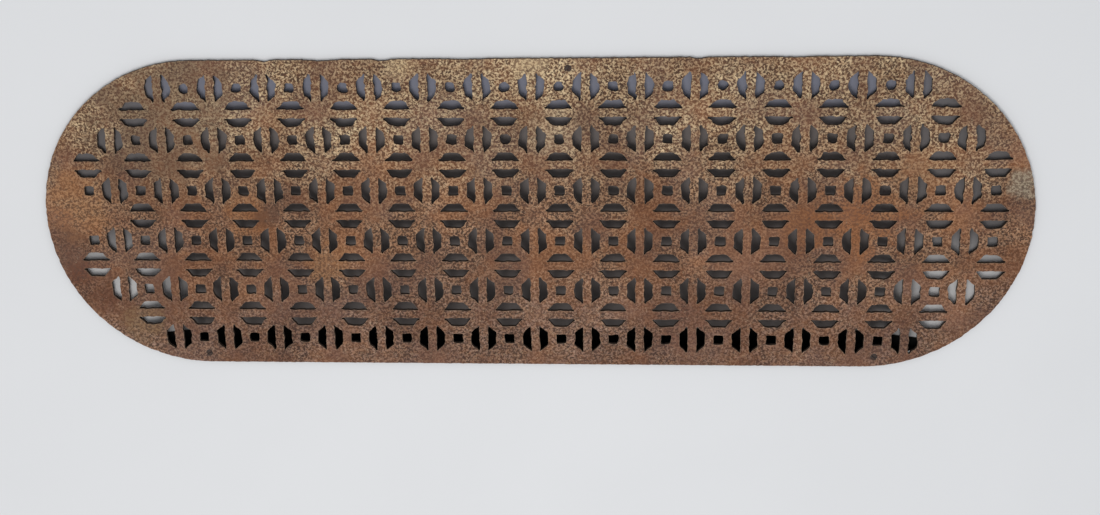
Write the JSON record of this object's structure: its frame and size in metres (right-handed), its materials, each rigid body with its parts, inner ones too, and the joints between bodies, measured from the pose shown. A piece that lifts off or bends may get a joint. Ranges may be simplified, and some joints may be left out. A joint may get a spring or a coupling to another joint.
{
  "type": "floor grate",
  "caption": "Flat oblong openwork floor grate with half-round ends, a star-and-square lattice of slots, and countersunk fixing screws.",
  "frame": {"origin": "middle of the plate's flat back face", "axes": "+X along the plate's length, +Y across it towards the side with the single screw, +Z out of the wearing face"},
  "size_m": [1.0056, 0.327, 0.0258],
  "materials": {
    "rusty_iron": "rough rust",
    "screw_steel": "dark rust"
  },
  "bodies": {
    "root": {"grate_plate": "rusty_iron", "fixing_screw_left": "screw_steel", "fixing_screw_right": "screw_steel", "fixing_screw_top": "screw_steel"}
  },
  "joints": []
}
